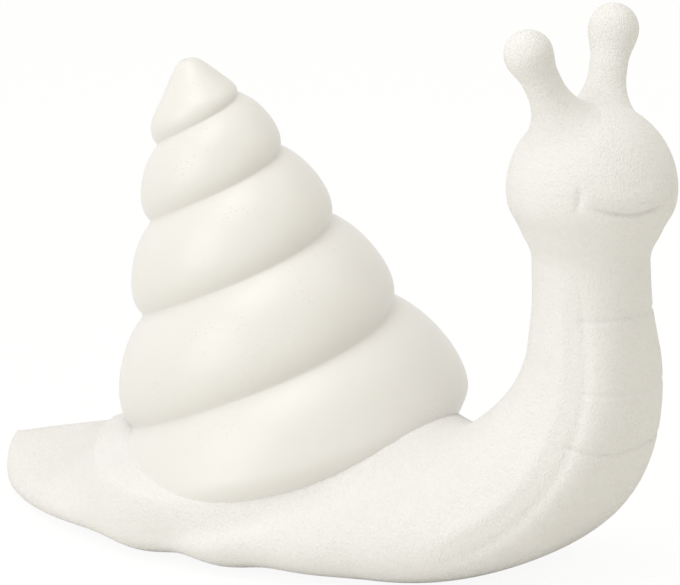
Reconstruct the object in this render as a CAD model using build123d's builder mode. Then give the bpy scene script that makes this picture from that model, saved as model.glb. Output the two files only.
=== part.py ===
"""Snail figurine: a cast body with a separate spiral shell and two eye stalks, held by steel and mortar.

Millimetres, +X towards the head, +Z up. The origin lies on the table under the middle of the snail's length.
"""
import os
from math import atan2, cos, degrees, pi, radians, sin, sqrt, tan

from build123d import *

# Body: foot and tail
length = 252.0
foot_half_width = 64.0
tail_tip_height = 8.0
sole_allowance = 3.0
overrun = 5.0

# Body: chest, neck and head
head_radius = 24.8
head_height = 119.4
chest_radius = 51.0
chest_spine_height = 19.5
chest_thickness = 43.0
chest_bulge = 5.2
neck_base_half_width = 18.8
neck_base_thickness = 38.0
neck_radius = 17.4
throat_radius = 9.0

# Shell
shell_x = -2.5
shell_foot_height = 10.0
shell_height = 142.0
shell_lean_back = 14.0
shell_lean_side = 7.5
seam_facing = 38.0
seam_apex_radius = 5.8
shell_end_height = 14.0
first_turn = -1.05
last_turn = 4.42
slices_per_turn = 14

# Eye stalks
stalk_lean_back = 11.0
stalk_lean_side = 27.4
right_stalk_reach = 46.6
left_stalk_reach = 48.8
right_stalk_tip_radius = 7.1
left_stalk_tip_radius = 7.5
stalk_waist_radius = 5.8
stalk_root_radius = 10.5
stalk_root_sink = 2.0
stalk_waist_share = 0.55
stalk_flare_share = 0.3
stalk_flare_width_share = 1.15

# Steel and mortar
neck_bar_radius = 4.0
neck_bar_start_turn = 25.0
pin_radius = 1.5
pin_depth_in_head = 13.0
pin_depth_in_stalk = 13.0
dowel_radius = 4.0
dowel_spacing = 26.0
dowel_set_back = 13.0
dowel_depth_in_shell = 36.0
dowel_depth_in_body = 4.5
mortar_thickness = 3.0
seat_gap = 0.6
seat_steps = 24

# Slices along the body: places along the foot, turns of the chest, places from chin to crown
foot_place_shares = (0.02, 0.06, 0.12, 0.19, 0.27, 0.35, 0.43, 0.51, 0.59, 0.67, 0.75, 0.83, 0.92)
chest_turns = (0, 15, 30, 45, 60, 75, 90)
neck_place_shares = (0.5, 1.0)
head_place_shares = (0.0, 0.15, 0.30, 0.45, 0.60, 0.75, 0.88)

# How the slices change: leaf outline of the foot, slope of the back, lift of the tail, level of the rim
leaf_peak_share = 0.66
leaf_power = 0.7
tail_height_share = 0.25
back_bow_share = 0.25
tail_lift_share = 0.14
rim_level_share = 0.31
tail_rim_rise_share = 0.17
tail_rim_span_share = 0.3
neck_rim_level_share = 0.43
chest_narrowing_power = 0.8

# Fullness of a slice's quarters: a true ellipse has round_share
round_share = 0.5523
belly_full_share = 0.74
back_full_share = 0.47
half_share = 0.5

# Shell as shares of its height: the first seam, the rise of a turn and its growth, the rounded apex,
# where the foot turns under and would close, and how high the body holds it
first_seam_share = 0.109
whorl_pitch_share = 0.12
whorl_growth_share = 0.0183
apex_cap_share = 0.155
turn_under_share = 0.845
shell_close_share = 1.021
seat_top_share = 0.59

# Shell's width at the seam over the foot's width, and the whorl's swell over its rise
seam_foot_share = 0.8
whorl_swell_share = 0.20

# Shell seam: where the notch starts and is full, and the two flanks that run from it up to the crest
notch_start_turn = -0.5
notch_full_turn = 0.0
flank_angle = 100.0
flank_pull_share = 0.765
lip_angle = 14.5
lip_share = 1.75

# Places worked out from the sizes above
tail_x = -length / 2
neck_x = length / 2 - head_radius
chest_x = neck_x - chest_radius
chest_centre_height = chest_spine_height + chest_radius
chest_half_width = foot_half_width * sin(pi / 2 / leaf_peak_share) ** leaf_power
back_height = chest_spine_height + chest_thickness / 2
throat_height = head_height - sqrt((head_radius + throat_radius) ** 2 - (neck_radius + throat_radius) ** 2)
chin_latitude = atan2(throat_height - head_height, neck_radius + throat_radius)
head_centre = Vector(neck_x, 0, head_height)
first_seam_drop = shell_height * first_seam_share
whorl_pitch = shell_height * whorl_pitch_share
whorl_growth = shell_height * whorl_growth_share
apex_cap_drop = shell_height * apex_cap_share
turn_under_drop = shell_height * turn_under_share
shell_close_drop = shell_height * shell_close_share
seat_top_drop = shell_height * seat_top_share
seam_slope = (foot_half_width * seam_foot_share - seam_apex_radius) / turn_under_drop
back_rise = tan(radians(shell_lean_back))
side_rise = tan(radians(shell_lean_side))
shell_plane = Plane(
    origin=(shell_x, 0, shell_foot_height), x_dir=(1, 0, back_rise), z_dir=(-back_rise, -side_rise, 1)
)

os.makedirs("parts", exist_ok=True)


def body_slice(plane, half_width, belly, back, rim_share, belly_share, back_share):
    """Egg-shaped slice of four curves between its lowest point, its two rims and its highest point."""
    rim = belly + (back - belly) * rim_share
    with BuildLine(plane) as outline:
        for side, tip, share in (
            (1, belly, belly_share),
            (1, back, back_share),
            (-1, back, back_share),
            (-1, belly, belly_share),
        ):
            Bezier(
                (0, tip),
                (side * half_width * share, tip),
                (side * half_width, rim + (tip - rim) * share),
                (side * half_width, rim),
            )
    return make_face(outline.line)


def foot_slice(place):
    """Upright slice of the foot: leaf-shaped in plan, rising from the tail to the chest."""
    plane = Plane(origin=(tail_x + (chest_x - tail_x) * place, 0, 0), x_dir=(0, 1, 0), z_dir=(1, 0, 0))
    half_width = foot_half_width * sin(pi / 2 * place / leaf_peak_share) ** leaf_power
    rise_share = place * (1 + back_bow_share * (1 - place))
    back = back_height * (tail_height_share + (1 - tail_height_share) * rise_share)
    lift_share = max(1 - place / tail_lift_share, 0) ** 2
    belly = -sole_allowance + (sole_allowance + tail_tip_height) * lift_share
    rim_share = rim_level_share + tail_rim_rise_share * max(1 - place / tail_rim_span_share, 0) ** 2
    return body_slice(plane, half_width, belly, back, rim_share, belly_full_share, back_full_share)


def chest_slice(turn):
    """Slice square to the bend of the chest, narrowing from the foot to the neck."""
    turned = radians(turn)
    done_share = turn / 90
    spine_x = chest_x + chest_radius * sin(turned)
    spine_z = chest_centre_height - chest_radius * cos(turned)
    plane = Plane(origin=(spine_x, 0, spine_z), x_dir=(0, 1, 0), z_dir=(cos(turned), 0, sin(turned)))
    narrowing_share = (1 - sin(turned)) ** chest_narrowing_power
    half_width = neck_base_half_width + (chest_half_width - neck_base_half_width) * narrowing_share
    thickness = chest_thickness + (neck_base_thickness - chest_thickness) * done_share
    half_thickness = (thickness + chest_bulge * sin(2 * turned)) / 2
    rim_share = rim_level_share + (neck_rim_level_share - rim_level_share) * done_share
    back_share = back_full_share + (round_share - back_full_share) * done_share
    return body_slice(
        plane, half_width, -half_thickness, half_thickness, rim_share, belly_full_share, back_share
    )


def ring_slice(height, half_width, half_thickness, rim_share, belly_share):
    """Level slice of the neck or head about the neck's axis."""
    plane = Plane(origin=(neck_x, 0, height), x_dir=(0, 1, 0), z_dir=(0, 0, 1))
    return body_slice(plane, half_width, -half_thickness, half_thickness, rim_share, belly_share, round_share)


# The body's slices, from the tail along the foot, round the chest, up the neck and over the head
body_slices = [Vertex(tail_x, 0, tail_tip_height)]
for place in foot_place_shares:
    body_slices.append(foot_slice(place))
for turn in chest_turns:
    body_slices.append(chest_slice(turn))
for place in neck_place_shares:
    body_slices.append(
        ring_slice(
            chest_centre_height + (throat_height - chest_centre_height) * place,
            neck_base_half_width + (neck_radius - neck_base_half_width) * place,
            neck_base_thickness / 2 + (neck_radius - neck_base_thickness / 2) * place,
            neck_rim_level_share + (half_share - neck_rim_level_share) * place,
            belly_full_share + (round_share - belly_full_share) * place,
        )
    )
for place in head_place_shares:
    latitude = chin_latitude + (pi / 2 - chin_latitude) * place
    ring = head_radius * cos(latitude)
    body_slices.append(
        ring_slice(head_height + head_radius * sin(latitude), ring, ring, half_share, round_share)
    )
body_slices.append(Vertex(neck_x, 0, head_height + head_radius))


def stalk_plane(side):
    """Plane at the head's centre, square to the stalk on one side (+1 left, -1 right)."""
    lean = Vector(-tan(radians(stalk_lean_back)), side * tan(radians(stalk_lean_side)), 1)
    return Plane(origin=head_centre, x_dir=(1, 0, -lean.X), z_dir=lean)


def upright(plane):
    """Plane through the same origin that holds the first plane's axis as its own upward direction."""
    return Plane(origin=plane.origin, x_dir=plane.x_dir, z_dir=-plane.y_dir)


def drop_at(turn):
    """Distance from the apex down the axis to the seam at one turn."""
    return first_seam_drop + whorl_pitch * turn + whorl_growth * turn**2


def swell_at(turn):
    """Height of the whorl above its seam at one turn."""
    return whorl_swell_share * (whorl_pitch + 2 * whorl_growth * turn)


def size_share_at(drop):
    """Share of the full cone: rounded off at the apex and turned under at the foot."""
    cap = 1 - min(drop / apex_cap_drop, 1)
    under = max(drop - turn_under_drop, 0) / (shell_close_drop - turn_under_drop)
    return sqrt((1 - cap**2) * (1 - under**2))


def crest_at(turn):
    """Radius of the shell over the crest of its whorl at one turn."""
    drop = drop_at(turn)
    return (seam_apex_radius + seam_slope * drop + swell_at(turn)) * size_share_at(drop)


# Steel bar bent round the chest and up into the head
with BuildPart() as neck_bar:
    with BuildLine(Plane.XZ) as bar_path:
        bend_size = 90 - neck_bar_start_turn
        CenterArc((chest_x, chest_centre_height), chest_radius, -bend_size, bend_size)
        Line((neck_x, chest_centre_height), (neck_x, head_height))
    with BuildSketch(Plane(origin=bar_path.line @ 0, z_dir=bar_path.line % 0)):
        Circle(neck_bar_radius)
    sweep()

# Two steel pins that run from the head into the stalks
with BuildPart() as eye_stalk_pins:
    for side in (1, -1):
        with BuildSketch(stalk_plane(side).offset(head_radius - pin_depth_in_head)):
            Circle(pin_radius)
    extrude(amount=pin_depth_in_head + pin_depth_in_stalk)

# Two upright steel dowels between the shell and the body
with BuildPart() as shell_dowels:
    with BuildSketch(Plane.XY.offset(shell_end_height + dowel_depth_in_shell)):
        with Locations((shell_x - dowel_set_back, 0)):
            with GridLocations(dowel_spacing, 0, 2, 1):
                Circle(dowel_radius)
    extrude(amount=-dowel_depth_in_shell - mortar_thickness - dowel_depth_in_body)

# Room in the body for the foot of the shell: the shell's own rise turned about its axis, with a small gap
seat_rise = sqrt(whorl_pitch**2 + 4 * whorl_growth * (seat_top_drop - first_seam_drop))
seat_first_turn = (seat_rise - whorl_pitch) / (2 * whorl_growth)
seat_wall = []
for index in range(seat_steps + 1):
    turn = last_turn + (seat_first_turn - last_turn) * index / seat_steps
    seat_wall.append((crest_at(turn) + seat_gap, shell_height - drop_at(turn)))

with BuildPart() as shell_seat:
    with BuildSketch(upright(shell_plane)):
        with BuildLine():
            Polyline((0, seat_wall[-1][1]), (0, seat_wall[0][1]), seat_wall[0])
            Spline(seat_wall)
            Line(seat_wall[-1], (0, seat_wall[-1][1]))
        make_face()
    revolve(axis=Axis(shell_plane.origin, shell_plane.z_dir))
    with BuildSketch(Plane.XY.offset(shell_end_height - mortar_thickness)):
        Rectangle(length, length)
    extrude(amount=-shell_end_height - overrun, mode=Mode.SUBTRACT)

# Bed of mortar on the floor of that room, under the level end of the shell
with BuildPart() as shell_mortar_bed:
    add(shell_seat.part)
    with BuildSketch(Plane.XY.offset(shell_end_height)):
        Rectangle(length, length)
    extrude(amount=shell_height, mode=Mode.SUBTRACT)
    add(shell_dowels.part, mode=Mode.SUBTRACT)

# Body: one lofted casting with a flat sole, and room for the bar, the pins, the shell's foot and its dowels
with BuildPart() as body_casting:
    loft(sections=body_slices)
    with BuildSketch(Plane.XY):
        Rectangle(length + overrun, 2 * foot_half_width + overrun)
    extrude(amount=-sole_allowance - overrun, mode=Mode.SUBTRACT)
    for inner in (neck_bar, eye_stalk_pins, shell_seat, shell_dowels):
        add(inner.part, mode=Mode.SUBTRACT)


def shell_slice(turn):
    """Slice of the shell at one turn: a circle with a single notch, the seam, which turns with the spiral."""
    drop = drop_at(turn)
    crest = crest_at(turn)
    swell = swell_at(turn) * size_share_at(drop)
    notch_share = min(max((turn - notch_start_turn) / (notch_full_turn - notch_start_turn), 0), 1)
    notch = crest - swell * notch_share
    round_pull = crest * 4 / 3 * tan(radians(flank_angle) / 4)
    flank_pull = round_pull + (crest * flank_pull_share - round_pull) * notch_share
    lip_reach = notch + swell * lip_share
    lip = Vector(lip_reach * cos(radians(lip_angle)), lip_reach * sin(radians(lip_angle)))
    lip = Vector(crest, round_pull) * (1 - notch_share) + lip * notch_share
    end = Vector(crest * cos(radians(flank_angle)), crest * sin(radians(flank_angle)))
    pull = end + Vector(sin(radians(flank_angle)), -cos(radians(flank_angle))) * flank_pull
    spin = radians(seam_facing) - 2 * pi * turn
    with BuildLine(shell_plane.offset(shell_height - drop)) as outline:
        for side in (1, -1):
            flank = []
            for x, y in ((notch, 0), (lip.X, side * lip.Y), (pull.X, side * pull.Y), (end.X, side * end.Y)):
                flank.append((x * cos(spin) - y * sin(spin), x * sin(spin) + y * cos(spin)))
            Bezier(*flank)
            CenterArc((0, 0), crest, degrees(spin) + side * flank_angle, side * (180 - flank_angle))
    return make_face(outline.line)


# The shell's slices, from the apex down the spiral
shell_slices = []
slice_steps = round((last_turn - first_turn) * slices_per_turn)
for index in range(slice_steps + 1):
    shell_slices.append(shell_slice(first_turn + (last_turn - first_turn) * index / slice_steps))

# Shell: a twisted loft, cut off level at its foot, with two dowel holes
with BuildPart() as shell_casting:
    loft(sections=shell_slices)
    with BuildSketch(Plane.XY.offset(shell_end_height)):
        Rectangle(length, length)
    extrude(amount=-shell_end_height - overrun, mode=Mode.SUBTRACT)
    add(shell_dowels.part, mode=Mode.SUBTRACT)


def stalk_profile(reach, tip_radius):
    """Half outline of a club-shaped stalk, from inside the head up to the rounded tip."""
    root = sqrt(head_radius**2 - stalk_root_radius**2) - stalk_root_sink
    waist = head_radius + (reach - head_radius) * stalk_waist_share
    flare = root + (waist - root) * stalk_flare_share
    with BuildLine() as outline:
        Line((0, root), (stalk_root_radius, root))
        Bezier(
            (stalk_root_radius, root),
            (stalk_waist_radius * stalk_flare_width_share, flare),
            (stalk_waist_radius, (flare + waist) / 2),
            (stalk_waist_radius, waist),
        )
        Bezier(
            (stalk_waist_radius, waist),
            (stalk_waist_radius, (waist + reach) / 2),
            (tip_radius, (waist + reach) / 2),
            (tip_radius, reach),
        )
        CenterArc((0, reach), tip_radius, 0, 90)
        Line((0, reach + tip_radius), (0, root))
    return outline.line


# Eye stalks: turned clubs, hollowed at the root to sit on the ball of the head
with BuildPart() as left_eye_stalk:
    with BuildSketch(upright(stalk_plane(1))):
        make_face(stalk_profile(left_stalk_reach, left_stalk_tip_radius).edges())
    revolve(axis=Axis(head_centre, stalk_plane(1).z_dir))
    add(body_casting.part, mode=Mode.SUBTRACT)
    add(eye_stalk_pins.part, mode=Mode.SUBTRACT)

with BuildPart() as right_eye_stalk:
    with BuildSketch(upright(stalk_plane(-1))):
        make_face(stalk_profile(right_stalk_reach, right_stalk_tip_radius).edges())
    revolve(axis=Axis(head_centre, stalk_plane(-1).z_dir))
    add(body_casting.part, mode=Mode.SUBTRACT)
    add(eye_stalk_pins.part, mode=Mode.SUBTRACT)

body_casting.part.label = "body_casting"
export_step(body_casting.part, "parts/body_casting.step")
shell_casting.part.label = "shell_casting"
export_step(shell_casting.part, "parts/shell_casting.step")
left_eye_stalk.part.label = "left_eye_stalk"
export_step(left_eye_stalk.part, "parts/left_eye_stalk.step")
right_eye_stalk.part.label = "right_eye_stalk"
export_step(right_eye_stalk.part, "parts/right_eye_stalk.step")
neck_bar.part.label = "neck_bar"
export_step(neck_bar.part, "parts/neck_bar.step")
eye_stalk_pins.part.label = "eye_stalk_pins"
export_step(eye_stalk_pins.part, "parts/eye_stalk_pins.step")
shell_dowels.part.label = "shell_dowels"
export_step(shell_dowels.part, "parts/shell_dowels.step")
shell_mortar_bed.part.label = "shell_mortar_bed"
export_step(shell_mortar_bed.part, "parts/shell_mortar_bed.step")
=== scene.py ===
"""Snail figurine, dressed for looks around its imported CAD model.
Lengths are millimetres until a mesh is made, and the rate of a wave is in radians per millimetre."""

import bmesh
import bpy
import numpy as np
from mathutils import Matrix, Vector


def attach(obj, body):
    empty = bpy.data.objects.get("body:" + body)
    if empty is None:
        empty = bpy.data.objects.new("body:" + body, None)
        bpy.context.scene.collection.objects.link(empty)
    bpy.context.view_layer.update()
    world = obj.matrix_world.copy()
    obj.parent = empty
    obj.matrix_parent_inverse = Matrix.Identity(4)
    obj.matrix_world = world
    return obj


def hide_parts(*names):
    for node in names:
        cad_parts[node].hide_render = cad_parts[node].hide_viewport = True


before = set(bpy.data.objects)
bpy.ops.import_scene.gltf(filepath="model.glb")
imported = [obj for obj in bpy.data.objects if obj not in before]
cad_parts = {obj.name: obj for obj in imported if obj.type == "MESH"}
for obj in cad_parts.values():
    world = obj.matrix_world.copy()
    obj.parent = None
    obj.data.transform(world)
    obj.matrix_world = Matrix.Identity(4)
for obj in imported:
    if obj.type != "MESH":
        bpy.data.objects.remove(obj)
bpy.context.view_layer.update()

# Shell: one spiral casting in a smooth satin glaze, wound down a leaning axis.
# Its whorls swell between soft seams, and its foot sits in a pocket in the snail's back.
METRES = 0.001
merge_distance = 0.01
shell_foot = np.array([-2.5, 0.0, 10.0])
shell_lean_back = np.radians(14.0)
shell_lean_side = np.radians(7.5)
shell_height = 142.0
shell_foot_radius = 51.2
seam_facing = np.radians(38.0)
seam_apex_radius = 5.8
first_seam_drop = 0.109 * shell_height
whorl_pitch = 0.12 * shell_height
whorl_growth = 0.0183 * shell_height
apex_cap_drop = 0.155 * shell_height
turn_under_drop = 0.845 * shell_height
shell_close_drop = 1.021 * shell_height
shell_whorls = np.arange(-3, 5)
shell_last_turn = 4.42
shell_closing_turns = 0.5
shell_end_height = 14.0
apex_blunting = 1.6
apex_swell_share = 0.6
whorl_swell = 0.215
arch_shoulder = 2.1
arch_fullness = 0.58
seam_depth = 1.12
seam_softness = 0.028
seam_start_span = (-0.5, 0.1)
seam_end_span = (3.85, 4.0)
hand_wobble = 0.35
wobble_drift = 1.3
wobble_span = (0.0, 2.0)
shell_columns = 192
rows_per_turn = 40

seam_slope = (shell_foot_radius - seam_apex_radius) / turn_under_drop
shell_axis = np.array([-np.tan(shell_lean_back), -np.tan(shell_lean_side), 1.0])
shell_axis /= np.linalg.norm(shell_axis)
shell_forward = np.array([np.cos(shell_lean_back), 0.0, np.sin(shell_lean_back)])
shell_leftward = np.cross(shell_axis, shell_forward)


def ease(low, high, value):
    """0 below low, 1 above high, and an S-curve between them. A value named span holds low and high."""
    share = np.clip((value - low) / (high - low), 0.0, 1.0)
    return share * share * (3.0 - 2.0 * share)


def bump(centre, width, value):
    """Bell curve: 1 at the centre, fading over the width. A value named bell holds centre and width."""
    return np.exp(-(((value - centre) / width) ** 2))


def blend(start, end, share):
    """Straight mix of two values."""
    return start + (end - start) * share


def seam_drop(turn):
    """Distance of the seam below the apex, which grows with the square of the turn."""
    return first_seam_drop + whorl_pitch * turn + whorl_growth * turn**2


def turn_at(drop):
    """Turn of the spiral at a distance below the apex: the seam's square law solved for the turn."""
    rest = np.maximum(whorl_pitch**2 + 4.0 * whorl_growth * (drop - first_seam_drop), 0.0)
    return (np.sqrt(rest) - whorl_pitch) / (2.0 * whorl_growth)


def shell_radius(drop, whorl_share):
    """Cone of the seams plus an arch from seam to seam, rounded at the apex and turned under at the foot.
    The arch is a power of the distance from the nearer seam, rounded off where it reaches zero. The tip
    is a weaker swell without seams, which cut in where the first turn starts. The arch fades out as
    the seam above it ends its fourth turn."""
    turn = turn_at(drop)
    from_seam = np.hypot(0.5 - np.abs(whorl_share - 0.5), seam_softness)
    arch = np.clip(1.0 - np.abs(1.0 - 2.0 * from_seam) ** arch_shoulder, 0.0, 1.0) ** arch_fullness
    arch = arch * (1.0 - ease(*seam_end_span, turn - whorl_share))
    seamed = ease(*seam_start_span, turn)
    swell = whorl_swell * (whorl_pitch + 2.0 * whorl_growth * turn)
    swell = swell * (1.0 - seam_depth * seamed * (1.0 - arch)) * blend(apex_swell_share, 1.0, seamed)
    cap = 1.0 - np.minimum(drop / apex_cap_drop, 1.0)
    under = np.maximum(drop - turn_under_drop, 0.0) / (shell_close_drop - turn_under_drop)
    size = np.sqrt(np.maximum((1.0 - cap**2) * (1.0 - under**2), 0.0))
    return (seam_apex_radius + seam_slope * drop + swell) * size


def mesh_object(name, points, faces):
    """Smooth mesh in metres from points in millimetres, with coincident points merged."""
    mesh = bpy.data.meshes.new(name)
    mesh.from_pydata((points * METRES).tolist(), [], faces.tolist())
    merged = bmesh.new()
    merged.from_mesh(mesh)
    bmesh.ops.remove_doubles(merged, verts=merged.verts, dist=merge_distance * METRES)
    merged.to_mesh(mesh)
    merged.free()
    mesh.polygons.foreach_set("use_smooth", np.ones(len(mesh.polygons), dtype=bool))
    piece = bpy.data.objects.new(name, mesh)
    bpy.context.scene.collection.objects.link(piece)
    return piece


def grid_faces(rows, columns):
    """Quads of a grid whose columns run in a ring, by row and column number. They face along the cross
    product of the way round and the way from row to row, which points outwards on every piece."""
    row, column = np.meshgrid(np.arange(rows - 1), np.arange(columns), indexing="ij")
    following = (column + 1) % columns
    corners = [row * columns + column, row * columns + following]
    corners += [(row + 1) * columns + following, (row + 1) * columns + column]
    return np.stack(corners, axis=-1).reshape(-1, 4)


def spiral_shell():
    """Skewed grid: columns go once round the axis and each row follows the seam, so that a row ends one
    turn lower, where a row of the next whorl begins. The tip is blunted and the foot ends level."""
    place = np.arange(rows_per_turn) / rows_per_turn
    crowded = 0.5 - 0.5 * np.cos(np.pi * place)
    row_turn = (shell_whorls[:, None] + crowded).ravel()
    column = np.arange(shell_columns) / shell_columns
    turn = row_turn[:, None] + column
    drop = np.clip(seam_drop(turn), 0.0, seam_drop(shell_last_turn))
    radius = shell_radius(drop, np.tile(crowded, len(shell_whorls))[:, None])
    radius = radius * np.clip(1.0 - (turn - shell_last_turn) / shell_closing_turns, 0.0, 1.0)
    angle = seam_facing - 2.0 * np.pi * column
    wobble = hand_wobble * np.sin(2.0 * angle + wobble_drift * turn) * ease(*wobble_span, turn)
    radius = radius + wobble * np.sign(radius)
    across = np.cos(angle)[:, None] * shell_forward + np.sin(angle)[:, None] * shell_leftward
    rise = shell_height - np.hypot(drop, apex_blunting)
    points = shell_foot + rise[..., None] * shell_axis + radius[..., None] * across
    points[..., 2] = np.maximum(points[..., 2], shell_end_height)
    points = points.reshape(-1, 3)
    faces = grid_faces(len(row_turn), shell_columns)
    joins_round = np.arange(len(faces)) % shell_columns == shell_columns - 1
    faces[joins_round, 1:3] += rows_per_turn * shell_columns
    return points, faces[faces.max(axis=1) < len(points)]


shell = mesh_object("shell", *spiral_shell())


def shader(name):
    """New node material, with its tree and its Principled shader."""
    material = bpy.data.materials.new(name)
    material.use_nodes = True
    tree = material.node_tree
    return material, tree, tree.nodes["Principled BSDF"]


def node(tree, kind, values=None, links=None, **settings):
    """New node with its settings, its input values and its links from other sockets."""
    made = tree.nodes.new(kind)
    for key, value in settings.items():
        setattr(made, key, value)
    for key, value in (values or {}).items():
        made.inputs[key].default_value = value
    for key, socket in (links or {}).items():
        tree.links.new(socket, made.inputs[key])
    return made


def ranged(tree, value, source, result=(0.0, 1.0)):
    """Value carried in a straight line from a source range to a result range, and held at the ends."""
    limits = dict(zip(("From Min", "From Max", "To Min", "To Max"), (*source, *result)))
    return node(tree, "ShaderNodeMapRange", limits, {"Value": value}).outputs["Result"]


def combined(tree, operation, first, second):
    """Result of a sum on two sockets, such as their product or the larger of them."""
    return node(tree, "ShaderNodeMath", {}, {0: first, 1: second}, operation=operation).outputs[0]


# Cell distance that is pit, and noise that lets pits show.
pit_edge_span = (0.05, 0.30)
pit_patch_span = (0.54, 0.66)


def make_mottle_group():
    """Group for cast and glazed stone: a slow drift of tone, a fine grain drawn out upwards, scattered pits.
    Fine noise is the grain; the small cells of a Voronoi pattern, gated by a slow noise, are the pits."""
    group = bpy.data.node_groups.new("stone mottle", "ShaderNodeTree")
    for name in ("Grain scale", "Grain draw", "Pit scale"):
        group.interface.new_socket(name, in_out="INPUT", socket_type="NodeSocketFloat")
    for name in ("Tone", "Grain", "Pits"):
        group.interface.new_socket(name, in_out="OUTPUT", socket_type="NodeSocketFloat")
    ends = group.nodes.new("NodeGroupInput")
    place = node(group, "ShaderNodeTexCoord").outputs["Object"]
    tone = node(group, "ShaderNodeTexNoise", {"Scale": 38.0, "Detail": 4.0}, {"Vector": place})
    draw = node(group, "ShaderNodeCombineXYZ", {0: 1.0, 1: 1.0}, {2: ends.outputs["Grain draw"]})
    drawn = node(
        group, "ShaderNodeVectorMath", {}, {0: place, 1: draw.outputs["Vector"]}, operation="MULTIPLY"
    )
    grain = node(
        group,
        "ShaderNodeTexNoise",
        {"Detail": 2.5, "Roughness": 0.6},
        {"Vector": drawn.outputs["Vector"], "Scale": ends.outputs["Grain scale"]},
    )
    cells = node(
        group, "ShaderNodeTexVoronoi", {}, {"Vector": place, "Scale": ends.outputs["Pit scale"]}
    )
    gate = node(group, "ShaderNodeTexNoise", {"Scale": 60.0, "Detail": 2.0}, {"Vector": place})
    pit = ranged(group, cells.outputs["Distance"], pit_edge_span, (1.0, 0.0))
    patch = ranged(group, gate.outputs["Fac"], pit_patch_span)
    out = group.nodes.new("NodeGroupOutput")
    for name, socket in (
        ("Tone", tone.outputs["Fac"]),
        ("Grain", grain.outputs["Fac"]),
        ("Pits", combined(group, "MULTIPLY", pit, patch)),
    ):
        group.links.new(socket, out.inputs[name])
    return group


mottle_group = make_mottle_group()


def mottled(tree, grain_size, grain_draw, pit_size):
    """The mottle group placed in a material: grain and pit sizes in millimetres, and the grain's scale
    upwards as a share of its scale across."""
    placed = node(tree, "ShaderNodeGroup", node_tree=mottle_group)
    placed.inputs["Grain scale"].default_value = 1.0 / (grain_size * METRES)
    placed.inputs["Grain draw"].default_value = grain_draw
    placed.inputs["Pit scale"].default_value = 1.0 / (pit_size * METRES)
    return placed


def pitted(tree, mottle, grain_depth, grain_strength, pit_depth, pit_strength):
    """Bumps from the mottle's grain and then its pits, with depths in millimetres."""
    grain = node(
        tree,
        "ShaderNodeBump",
        {"Strength": grain_strength, "Distance": grain_depth * METRES},
        {"Height": mottle.outputs["Grain"]},
    )
    return node(
        tree,
        "ShaderNodeBump",
        {"Strength": pit_strength, "Distance": pit_depth * METRES},
        {"Height": mottle.outputs["Pits"], "Normal": grain.outputs["Normal"]},
        invert=True,
    )


def drifting(tree, factor, first, second):
    """Colour that drifts between two tones."""
    tones = {"A": (*first, 1.0), "B": (*second, 1.0)}
    return node(tree, "ShaderNodeMix", tones, {"Factor": factor}, data_type="RGBA")


# Colours and gloss of the glaze.
glaze_warm = (0.74, 0.724, 0.70)
glaze_cool = (0.78, 0.766, 0.748)
glaze_tone_span = (0.2, 0.8)
glaze_roughness = (0.30, 0.37)


def glaze_material():
    """Satin glaze: the tone drifts a little, gloss changes in slow patches, pits and ripples are shallow."""
    material, tree, principled = shader("satin glaze")
    mottle = mottled(tree, grain_size=1.8, grain_draw=0.8, pit_size=1.5)
    colour = drifting(tree, mottle.outputs["Tone"], glaze_warm, glaze_cool)
    gloss = ranged(tree, mottle.outputs["Tone"], glaze_tone_span, glaze_roughness)
    relief = pitted(tree, mottle, grain_depth=0.6, grain_strength=0.09, pit_depth=0.5, pit_strength=0.35)
    tree.links.new(colour.outputs["Result"], principled.inputs["Base Color"])
    tree.links.new(gloss, principled.inputs["Roughness"])
    tree.links.new(relief.outputs["Normal"], principled.inputs["Normal"])
    return material


def dress(piece, material, slot, *nodes):
    """Finished piece: its material, the body that it moves with, the nodes that it stands for. The slot is
    not used.
    """
    piece.data.materials.append(material)
    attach(piece, "root")
    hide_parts(*nodes)


dress(shell, glaze_material(), "satin_glaze", "shell_casting")


# Body: one casting from tail to crown in matte cast stone with a sandy grain, on a flat sole.
# A scored belly panel runs up the front of the neck, and a mouth line is tooled into the head.
snail_length = 252.0
foot_half_width = 64.0
leaf_peak = 0.66
leaf_power = 0.7
tail_tip_height = 8.0
tail_lift_share = 0.14
tail_back_share = 0.25
back_hump_share = 0.25
tail_rim_raise = 0.17
tail_rim_share = 0.3
chest_radius = 51.0
chest_spine_height = 19.5
chest_thickness = 43.0
chest_bulge = 5.2
chest_narrowing = 0.8
neck_base_half_width = 18.8
neck_base_thickness = 38.0
neck_radius = 17.4
throat_radius = 9.0
head_radius = 24.8
head_height = 119.4
round_full = 0.5523
belly_full = 0.74
back_full = 0.47
rim_level = 0.31
neck_rim_level = 0.43
round_rim_level = 0.5
before_panel = -1.0
body_columns = 216
foot_rows = 92
chest_rows = 182
neck_rows = 52
throat_rows = 14
head_rows = 112
foot_row_crowding = 1.25

tail_x = -snail_length / 2.0
neck_x = snail_length / 2.0 - head_radius
chest_x = neck_x - chest_radius
chest_centre_height = chest_spine_height + chest_radius
back_height = chest_spine_height + chest_thickness / 2.0
sole_allowance = chest_thickness / 2.0 - chest_spine_height
throat_reach = neck_radius + throat_radius
throat_height = head_height - np.sqrt((head_radius + throat_radius) ** 2 - throat_reach**2)
chin_latitude = np.arctan2(throat_height - head_height, throat_reach)
head_centre = np.array([neck_x, 0.0, head_height])


def leaf_width(place):
    """Half width of the foot: a leaf in plan, a power of a sine of the place along it."""
    return foot_half_width * np.sin(np.pi / 2.0 * place / leaf_peak) ** leaf_power


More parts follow.
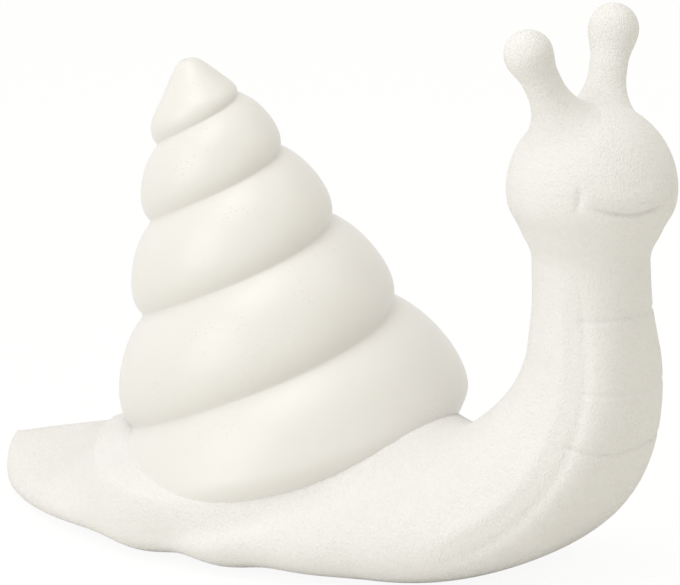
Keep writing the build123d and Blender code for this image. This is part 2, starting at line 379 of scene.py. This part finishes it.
def body_stations():
    """Slices from tail to crown as ten arrays: the slice's place along and up, how far it has turned from
    upright to level, its half width, its belly and back, the level of its rims between them, how full its
    belly and back quarters are, and its distance along the belly panel. The foot is a leaf with a rising
    back, the chest a quarter turn, the neck a straight taper, and the head a ball over a throat arc."""
    place = np.linspace(0.0, 1.0, foot_rows)[1:] ** foot_row_crowding
    rise = place * (1.0 + back_hump_share * (1.0 - place))
    lift = np.maximum(1.0 - place / tail_lift_share, 0.0) ** 2
    tail_rim = rim_level + tail_rim_raise * np.maximum(1.0 - place / tail_rim_share, 0.0) ** 2
    flat = np.zeros_like(place)
    tip = [tail_x, 0.0, 0.0, 0.0, tail_tip_height, tail_tip_height]
    tip += [rim_level, belly_full, back_full, before_panel]
    foot = [tail_x + (chest_x - tail_x) * place, flat, flat, leaf_width(place)]
    foot += [blend(-sole_allowance, tail_tip_height, lift), back_height * blend(tail_back_share, 1.0, rise)]
    foot += [tail_rim, flat + belly_full, flat + back_full, flat + before_panel]

    turn = np.radians(np.linspace(0.0, 90.0, chest_rows)[1:])
    done = turn / (np.pi / 2.0)
    flat = np.zeros_like(turn)
    width = blend(neck_base_half_width, leaf_width(1.0), (1.0 - np.sin(turn)) ** chest_narrowing)
    half = (blend(chest_thickness, neck_base_thickness, done) + chest_bulge * np.sin(2.0 * turn)) / 2.0
    spine_height = chest_centre_height - chest_radius * np.cos(turn)
    chest_reach = chest_radius + neck_base_thickness / 2.0 + chest_bulge / 2.0
    chest = [chest_x + chest_radius * np.sin(turn), spine_height, turn, width, -half, half]
    chest += [blend(rim_level, neck_rim_level, done), flat + belly_full]
    chest += [blend(back_full, round_full, done), chest_reach * turn]

    up = np.linspace(0.0, 1.0, neck_rows)[1:]
    flat = np.zeros_like(up)
    half = blend(neck_base_thickness / 2.0, neck_radius, up)
    neck_rise = (throat_height - chest_centre_height) * up
    neck = [flat + neck_x, chest_centre_height + neck_rise, flat + np.pi / 2.0]
    neck += [blend(neck_base_half_width, neck_radius, up), -half, half]
    neck += [blend(neck_rim_level, round_rim_level, up), blend(belly_full, round_full, up)]
    neck += [flat + round_full, chest_reach * np.pi / 2.0 + neck_rise]

    bend = np.linspace(0.0, -chin_latitude, throat_rows)[1:]
    latitude = np.linspace(chin_latitude, np.pi / 2.0, head_rows)[1:]
    ring = [throat_reach - throat_radius * np.cos(bend), head_radius * np.cos(latitude)]
    height = [throat_height + throat_radius * np.sin(bend), head_height + head_radius * np.sin(latitude)]
    ring = np.concatenate(ring)
    height = np.concatenate(height)
    flat = np.zeros_like(ring)
    head = [flat + neck_x, height, flat + np.pi / 2.0, ring, -ring, ring, flat + round_rim_level]
    head += [flat + round_full, flat + round_full, flat + neck[-1][-1] + height - throat_height]
    parts = [np.array(tip)[:, None], *(np.array(part) for part in (foot, chest, neck, head))]
    return np.concatenate(parts, axis=1)[..., None]


# Shortest length that a normal is divided by, because it shrinks to nothing at the poles.
least_normal = 1e-9


def outward(points):
    """Unit normals of a ring grid: the cross product of its two directions."""
    along = np.gradient(points, axis=0)
    around = np.roll(points, -1, axis=1) - np.roll(points, 1, axis=1)
    normal = np.cross(around, along)
    return normal / np.maximum(np.linalg.norm(normal, axis=-1, keepdims=True), least_normal)


# Belly panel: lengths along it, and shares of the way from its rim to its middle.
panel_start_span = (20.0, 45.0)
panel_end_span = (122.0, 146.0)
panel_reach = -0.5
panel_ridge_height = 0.9
panel_ridge_bell = (0.02, 0.08)
panel_channel_depth = 0.6
panel_channel_bell = (0.26, 0.07)
# Depth of each score line, by its distance along the panel.
score_depths = {61.0: 0.4, 87.0: 0.6, 105.5: 0.3, 127.5: 0.6}
score_width = 0.75
score_margin_span = (0.12, 0.26)


def belly_push(along, inwards):
    """Height of the belly panel, by the distance along it and the share from its rim to its middle: a soft
    ridge at the rim, a shallow channel beside it, and the score lines across."""
    panel = ease(*panel_start_span, along) * (1.0 - ease(*panel_end_span, along)) * (inwards > panel_reach)
    push = panel_ridge_height * bump(*panel_ridge_bell, inwards)
    push = push - panel_channel_depth * bump(*panel_channel_bell, inwards)
    for place, depth in score_depths.items():
        push = push - depth * bump(place, score_width, along) * ease(*score_margin_span, inwards)
    return panel * push


# Face: angles on the head's ball, and heights and widths on its surface.
mouth_facing = np.radians(-26.0)
mouth_latitude = np.radians(-8.6)
mouth_rise = np.radians(8.6)
mouth_rise_power = 1.6
mouth_half_angle = np.radians(38.0)
mouth_full_share = 0.3
mouth_depth = 1.1
mouth_bell = (0.0, 0.7)
cheek_height = 0.6
cheek_bell = (4.2, 3.6)
lower_lip_height = 0.3
lower_lip_bell = (-2.6, 1.6)
crease_depth = 0.9
crease_width = 0.045
crease_bell = (0.05, 0.13)
face_reach_share = 1.05


def face_push(points):
    """Height of the face: a mouth line that rises towards its ends, the cheeks over it, the lip under it and
    a crease at each end. The line's latitude on the ball grows with a power of the angle from its middle."""
    from_head = points - head_centre
    distance = np.linalg.norm(from_head, axis=-1)
    side = np.abs(np.arctan2(from_head[..., 1], from_head[..., 0]) - mouth_facing)
    latitude = np.arcsin(np.clip(from_head[..., 2] / distance, -1.0, 1.0))
    line = mouth_latitude + mouth_rise * (side / mouth_half_angle) ** mouth_rise_power
    above = head_radius * (latitude - line)
    near_middle = 1.0 - ease(mouth_full_share * mouth_half_angle, mouth_half_angle, side)
    lips = cheek_height * bump(*cheek_bell, above) + lower_lip_height * bump(*lower_lip_bell, above)
    mouth = near_middle * (lips - mouth_depth * bump(*mouth_bell, above))
    creases = crease_depth * bump(mouth_half_angle, crease_width, side) * bump(*crease_bell, latitude)
    return (distance < face_reach_share * head_radius) * (mouth - creases)


# Stone drawn up against the shell: spans along the snail, across it and up.
shell_fillet = 22.0
fillet_power = 2.5
fillet_height = 2.5
tail_fillet_height = 11.0
fillet_tail_span = (-35.0, 45.0)
fillet_right_span = (-15.0, 35.0)
fillet_rise_span = (6.0, 16.0)
valley_depth = 1.5
valley_bell = (8.0, 8.0)
valley_front_span = (-30.0, 20.0)


def fillet_push(points):
    """Height of the stone drawn up against the shell, most at the tail's right, and of the soft valley in
    front. The first fades with a power of the distance from the shell's surface, the second as a bell."""
    from_foot = points - shell_foot
    climb = from_foot @ shell_axis
    angle = np.arctan2(from_foot @ shell_leftward, from_foot @ shell_forward)
    drop = np.clip(shell_height - climb, 0.0, seam_drop(shell_last_turn))
    share = (turn_at(drop) - (seam_facing - angle) / (2.0 * np.pi)) % 1.0
    from_axis = np.linalg.norm(from_foot - climb[..., None] * shell_axis, axis=-1)
    clear = from_axis - shell_radius(drop, share)
    at_tail = ease(*fillet_tail_span, -points[..., 0]) * ease(*fillet_right_span, -points[..., 1])
    fill = blend(fillet_height, tail_fillet_height, at_tail) * ease(*fillet_rise_span, points[..., 2])
    fill = fill * np.clip(1.0 - np.maximum(clear, 0.0) / shell_fillet, 0.0, 1.0) ** fillet_power
    return fill - valley_depth * bump(*valley_bell, clear) * ease(*valley_front_span, points[..., 0])


# Hollows above and below the throat, waves along the foot's rim, and a slow unevenness all over.
hollow_depth = 1.0
chin_bell = (10.0, 4.5)
neck_bell = (-14.0, 12.0)
rim_wave_height = 0.8
rim_wave_rate = 0.13
rim_drift = 2.0
rim_drift_rate = 0.041
rim_low_span = (6.0, 16.0)
rim_rear_span = (10.0, 45.0)
wander_height = 0.5
wander_rates = np.array([0.071, 0.093])
wander_phases = np.array([1.0, 0.4])
wander_rise_span = (2.0, 14.0)


def body_grid():
    """Each slice is four cubic curves between belly, rims and back. The belly panel, the face, the hollows
    of chin and neck, the fillet against the shell and the waves of the rim are pushed in or out along the
    surface's own normal. Slow waves then lift it unevenly, and the sole is cut off level."""
    x, z, turn, width, belly, back, rim_share, belly_share, back_share, along = body_stations()
    quarter = body_columns // 4
    step = np.arange(quarter) / quarter
    curve = np.concatenate([step, 1.0 - step, step, 1.0 - step])
    side = np.repeat([1.0, 1.0, -1.0, -1.0], quarter)
    on_back = np.repeat([False, True, True, False], quarter)
    full = np.where(on_back, back_share, belly_share)
    tip = np.where(on_back, back, belly)
    rim = belly + (back - belly) * rim_share
    first = (1.0 - curve) ** 3 + 3.0 * (1.0 - curve) ** 2 * curve
    second = 3.0 * (1.0 - curve) * curve**2
    out = width * (3.0 * (1.0 - curve) ** 2 * curve * full + second + curve**3)
    up = tip * first + (rim + (tip - rim) * full) * second + rim * curve**3
    points = np.stack([x - np.sin(turn) * up, side * out, z + np.cos(turn) * up], axis=-1)

    inwards = np.where(on_back, curve - 1.0, 1.0 - curve)
    place, height = points[..., 0], points[..., 2]
    above_throat = height - throat_height
    hollow = hollow_depth * (bump(*chin_bell, above_throat) + bump(*neck_bell, above_throat))
    push = belly_push(along, inwards) + face_push(points) + fillet_push(points) - (along > 0.0) * hollow
    rim_wave = rim_wave_height * np.sin(rim_wave_rate * place + rim_drift * np.sin(rim_drift_rate * place))
    push = push + rim_wave * (1.0 - ease(*rim_low_span, height)) * (1.0 - ease(*rim_rear_span, place))
    points = points + push[..., None] * outward(points)
    wander = np.sin(wander_rates * points[..., :2] + wander_phases).prod(axis=-1)
    points[..., 2] += wander_height * wander * ease(*wander_rise_span, points[..., 2])
    points[..., 2] = np.maximum(points[..., 2], 0.0)
    return points


# Colours and speckle of the cast stone.
stone_warm = (0.82, 0.807, 0.798)
stone_cool = (0.87, 0.86, 0.858)
speckle_span = (0.30, 0.55)
speckle_tones = (0.985, 1.0)
stone_roughness = 0.88


def cast_stone_material():
    """Matte cast stone: sandy grain all over, a slow drift from warm to cool white, a few open pits."""
    material, tree, principled = shader("cast stone")
    mottle = mottled(tree, grain_size=0.6, grain_draw=0.75, pit_size=1.1)
    colour = drifting(tree, mottle.outputs["Tone"], stone_warm, stone_cool)
    speckle = ranged(tree, mottle.outputs["Grain"], speckle_span, speckle_tones)
    shaded = node(
        tree,
        "ShaderNodeMix",
        {"Factor": 1.0},
        {"A": colour.outputs["Result"], "B": speckle},
        data_type="RGBA",
        blend_type="MULTIPLY",
    )
    relief = pitted(tree, mottle, grain_depth=0.6, grain_strength=0.9, pit_depth=0.4, pit_strength=0.3)
    tree.links.new(shaded.outputs["Result"], principled.inputs["Base Color"])
    principled.inputs["Roughness"].default_value = stone_roughness
    tree.links.new(relief.outputs["Normal"], principled.inputs["Normal"])
    return material


body_points = body_grid()
body = mesh_object("body", body_points.reshape(-1, 3), grid_faces(*body_points.shape[:2]))
cast_stone = cast_stone_material()
dress(body, cast_stone, "cast_stone", "body_casting")

# Eye stalks: two hand-rolled clubs of the same cast stone, pinned to the head.
# Each flares at its root, where it is smoothed into the ball, and ends in a round tip.
stalk_lean_back = np.radians(11.0)
stalk_lean_side = np.radians(27.4)
stalk_waist_radius = 5.5
stalk_fillet = 18.0
stalk_sink = 0.25
stalk_skirt_spread = np.array([0.14, 0.06])
stalk_skirt_depth = np.array([1.2, 0.4])
stalk_club_span = (0.25, 1.0)
stalk_unevenness = 0.02
stalk_uneven_rate = 0.2
# Side, height of the tip's centre over the head's centre, and radius of the tip.
stalk_sizes = {"left": (1.0, 48.8, 7.5), "right": (-1.0, 46.6, 7.1)}
stalk_columns = 96
stalk_rows = 30


def stalk_grid(side, reach, tip_radius):
    """Turned profile round the stalk's own leaning axis: a flat root and a skirt sunk in the ball, an arc
    that leaves the ball without a corner, a waist that widens to the tip, and a half ball. A slow wave
    along the stalk makes it slightly oval."""
    axis = np.array([-np.tan(stalk_lean_back), side * np.tan(stalk_lean_side), 1.0])
    axis /= np.linalg.norm(axis)
    forward = np.array([axis[2], 0.0, -axis[0]])
    forward /= np.linalg.norm(forward)
    leftward = np.cross(axis, forward)
    arc_reach = stalk_waist_radius + stalk_fillet
    arc_height = np.sqrt((head_radius - stalk_sink + stalk_fillet) ** 2 - arc_reach**2)
    skirt = np.arctan2(arc_reach, arc_height) + stalk_skirt_spread
    skirt_reach = head_radius - stalk_skirt_depth
    skirt_height = skirt_reach * np.cos(skirt)
    arc = np.linspace(np.arctan2(arc_height, arc_reach), 0.0, stalk_rows)
    flare_height = arc_height - stalk_fillet * np.sin(arc)
    up = np.linspace(0.0, 1.0, stalk_rows)[1:]
    club = blend(stalk_waist_radius, tip_radius, ease(*stalk_club_span, up))
    cap = np.radians(np.linspace(0.0, 90.0, stalk_rows)[1:])
    radius = [[0.0], skirt_reach * np.sin(skirt), arc_reach - stalk_fillet * np.cos(arc)]
    radius = np.concatenate([*radius, club, tip_radius * np.cos(cap)])
    height = [skirt_height[:1], skirt_height, flare_height, blend(arc_height, reach, up)]
    height = np.concatenate([*height, reach + tip_radius * np.sin(cap)])
    angle = 2.0 * np.pi * np.arange(stalk_columns) / stalk_columns
    wave = np.sin(2.0 * angle + side) * np.sin(stalk_uneven_rate * height)[:, None]
    radius = radius[:, None] * (1.0 + stalk_unevenness * wave)
    across = np.cos(angle)[:, None] * forward + np.sin(angle)[:, None] * leftward
    return head_centre + height[:, None, None] * axis + radius[..., None] * across


for name, (side, reach, tip_radius) in stalk_sizes.items():
    stalk_points = stalk_grid(side, reach, tip_radius)
    faces = grid_faces(*stalk_points.shape[:2])
    stalk = mesh_object(name + "_stalk", stalk_points.reshape(-1, 3), faces)
    dress(stalk, cast_stone, "cast_stone", name + "_eye_stalk")

# Hidden fixings: a bent steel bar in the neck, pins in the stalks and dowels under the shell, cut from bar.
# A bed of grey-white mortar holds the shell's level end.
steel_colour = (0.52, 0.52, 0.53, 1.0)
steel_roughness = (0.32, 0.5)
mortar_dark = (0.66, 0.64, 0.60)
mortar_light = (0.76, 0.75, 0.71)
mortar_roughness = 0.93


def bar_steel_material():
    """Drawn bar: fine flecks in the gloss."""
    material, tree, principled = shader("bar steel")
    place = node(tree, "ShaderNodeTexCoord").outputs["Object"]
    flecks = node(tree, "ShaderNodeTexNoise", {"Scale": 900.0, "Detail": 3.0}, {"Vector": place})
    gloss = ranged(tree, flecks.outputs["Fac"], (0.0, 1.0), steel_roughness)
    principled.inputs["Base Color"].default_value = steel_colour
    principled.inputs["Metallic"].default_value = 1.0
    tree.links.new(gloss, principled.inputs["Roughness"])
    return material


def mortar_material():
    """Trowelled mortar: coarse grain in its tone and surface."""
    material, tree, principled = shader("mortar")
    mottle = mottled(tree, grain_size=0.9, grain_draw=1.0, pit_size=1.6)
    colour = drifting(tree, mottle.outputs["Grain"], mortar_dark, mortar_light)
    relief = pitted(tree, mottle, grain_depth=0.6, grain_strength=0.6, pit_depth=0.5, pit_strength=0.4)
    tree.links.new(colour.outputs["Result"], principled.inputs["Base Color"])
    principled.inputs["Roughness"].default_value = mortar_roughness
    tree.links.new(relief.outputs["Normal"], principled.inputs["Normal"])
    return material


bar_steel = bar_steel_material()
for fixing, finish in (
    ("neck_bar", bar_steel),
    ("eye_stalk_pins", bar_steel),
    ("shell_dowels", bar_steel),
    ("shell_mortar_bed", mortar_material()),
):
    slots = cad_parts[fixing].data.materials
    slots.clear()
    slots.append(finish)

# Stage: a pale floor that keeps a soft shadow, a white surround, soft lamps from the upper left and above,
# and the camera at the photograph's angle.
view_azimuth = np.radians(38.0)
view_elevation = np.radians(13.0)
view_distance = 1200.0
view_target = np.array([10.0, 0.0, 73.9])
# Focal length, centre and size of the picture are in pixels.
view_focal = 3940.5
view_centre = np.array([342.46, 297.38])
image_size = np.array([680.0, 585.0])
sensor_width = 36.0
floor_half_size = 4000.0
floor_gap = 0.1
floor_colour = (0.86, 0.85, 0.82, 1.0)
floor_roughness = 0.9
floor_glow = 1.02
floor_glow_share = 0.9
surround_light = (0.70, 0.685, 0.615, 1.0)
key_colour = (0.965, 0.985, 1.0)
top_colour = (0.98, 0.99, 1.0)
right_colour = (1.0, 0.97, 0.91)
white = (1.0, 1.0, 1.0, 1.0)

rightward = np.array([np.cos(view_azimuth), np.sin(view_azimuth), 0.0])
level_back = np.array([np.sin(view_azimuth), -np.cos(view_azimuth), 0.0])
upward = np.array([0.0, 0.0, 1.0])
backward = np.cos(view_elevation) * level_back + np.sin(view_elevation) * upward


def seen_share(tree):
    """1 for rays that reach the camera straight, in a reflection or through glass, and 0 for all others."""
    rays = node(tree, "ShaderNodeLightPath").outputs
    mirrored = combined(tree, "MAXIMUM", rays["Is Glossy Ray"], rays["Is Transmission Ray"])
    return combined(tree, "MAXIMUM", rays["Is Camera Ray"], mirrored)


def floor_object():
    """Level square under the sole, facing up."""
    corners = np.array([[-1.0, -1.0, 0.0], [1.0, -1.0, 0.0], [1.0, 1.0, 0.0], [-1.0, 1.0, 0.0]])
    points = corners * floor_half_size - floor_gap * upward
    return mesh_object("floor", points, np.array([[0, 1, 2, 3]]))


def floor_material():
    """Pale matte floor, mixed with plain white where the camera sees it, so that its shadow stays faint."""
    material, tree, principled = shader("pale floor")
    principled.inputs["Base Color"].default_value = floor_colour
    principled.inputs["Roughness"].default_value = floor_roughness
    glow = node(tree, "ShaderNodeEmission", {"Color": white, "Strength": floor_glow})
    share = ranged(tree, seen_share(tree), (0.0, 1.0), (0.0, floor_glow_share))
    mixed = node(
        tree,
        "ShaderNodeMixShader",
        {},
        {0: share, 1: principled.outputs["BSDF"], 2: glow.outputs["Emission"]},
    )
    tree.links.new(mixed.outputs["Shader"], tree.nodes["Material Output"].inputs["Surface"])
    return material


floor = floor_object()
floor.data.materials.append(floor_material())

world = bpy.data.worlds.new("studio")
bpy.context.scene.world = world
world.use_nodes = True
surround = node(
    world.node_tree,
    "ShaderNodeMix",
    {"A": surround_light, "B": white},
    {"Factor": seen_share(world.node_tree)},
    data_type="RGBA",
)
background = world.node_tree.nodes["Background"]
world.node_tree.links.new(surround.outputs["Result"], background.inputs["Color"])


def soft_lamp(name, right, up, back, size, power, colour):
    """Square area lamp placed from the view target to the right, up and towards the camera. Its place and
    size are in metres and its power in watts."""
    lamp = bpy.data.lights.new(name, "AREA")
    lamp.size = size
    lamp.energy = power
    lamp.color = colour
    lamp_object = bpy.data.objects.new(name, lamp)
    bpy.context.scene.collection.objects.link(lamp_object)
    aim = Vector(view_target * METRES)
    lamp_object.location = aim + Vector(right * rightward + up * upward + back * level_back)
    lamp_object.rotation_euler = (aim - lamp_object.location).to_track_quat("-Z", "Y").to_euler()


soft_lamp("key lamp", right=-1.0, up=0.6, back=0.8, size=1.0, power=5.5, colour=key_colour)
soft_lamp("top lamp", right=-0.4, up=1.45, back=0.35, size=0.9, power=6.4, colour=top_colour)
soft_lamp("right lamp", right=0.7, up=1.4, back=0.1, size=1.0, power=2.2, colour=right_colour)

camera = bpy.data.cameras.new("camera")
camera.sensor_width = sensor_width
camera.lens = view_focal * sensor_width / image_size[0]
camera.shift_x = (image_size[0] / 2.0 - view_centre[0]) / image_size[0]
camera.shift_y = (view_centre[1] - image_size[1] / 2.0) / image_size[0]
camera_object = bpy.data.objects.new("camera", camera)
bpy.context.scene.collection.objects.link(camera_object)
camera_object.location = Vector((view_target + view_distance * backward) * METRES)
camera_object.rotation_euler = Vector(-backward).to_track_quat("-Z", "Y").to_euler()
bpy.context.scene.camera = camera_object
bpy.context.scene.view_settings.view_transform = "Standard"
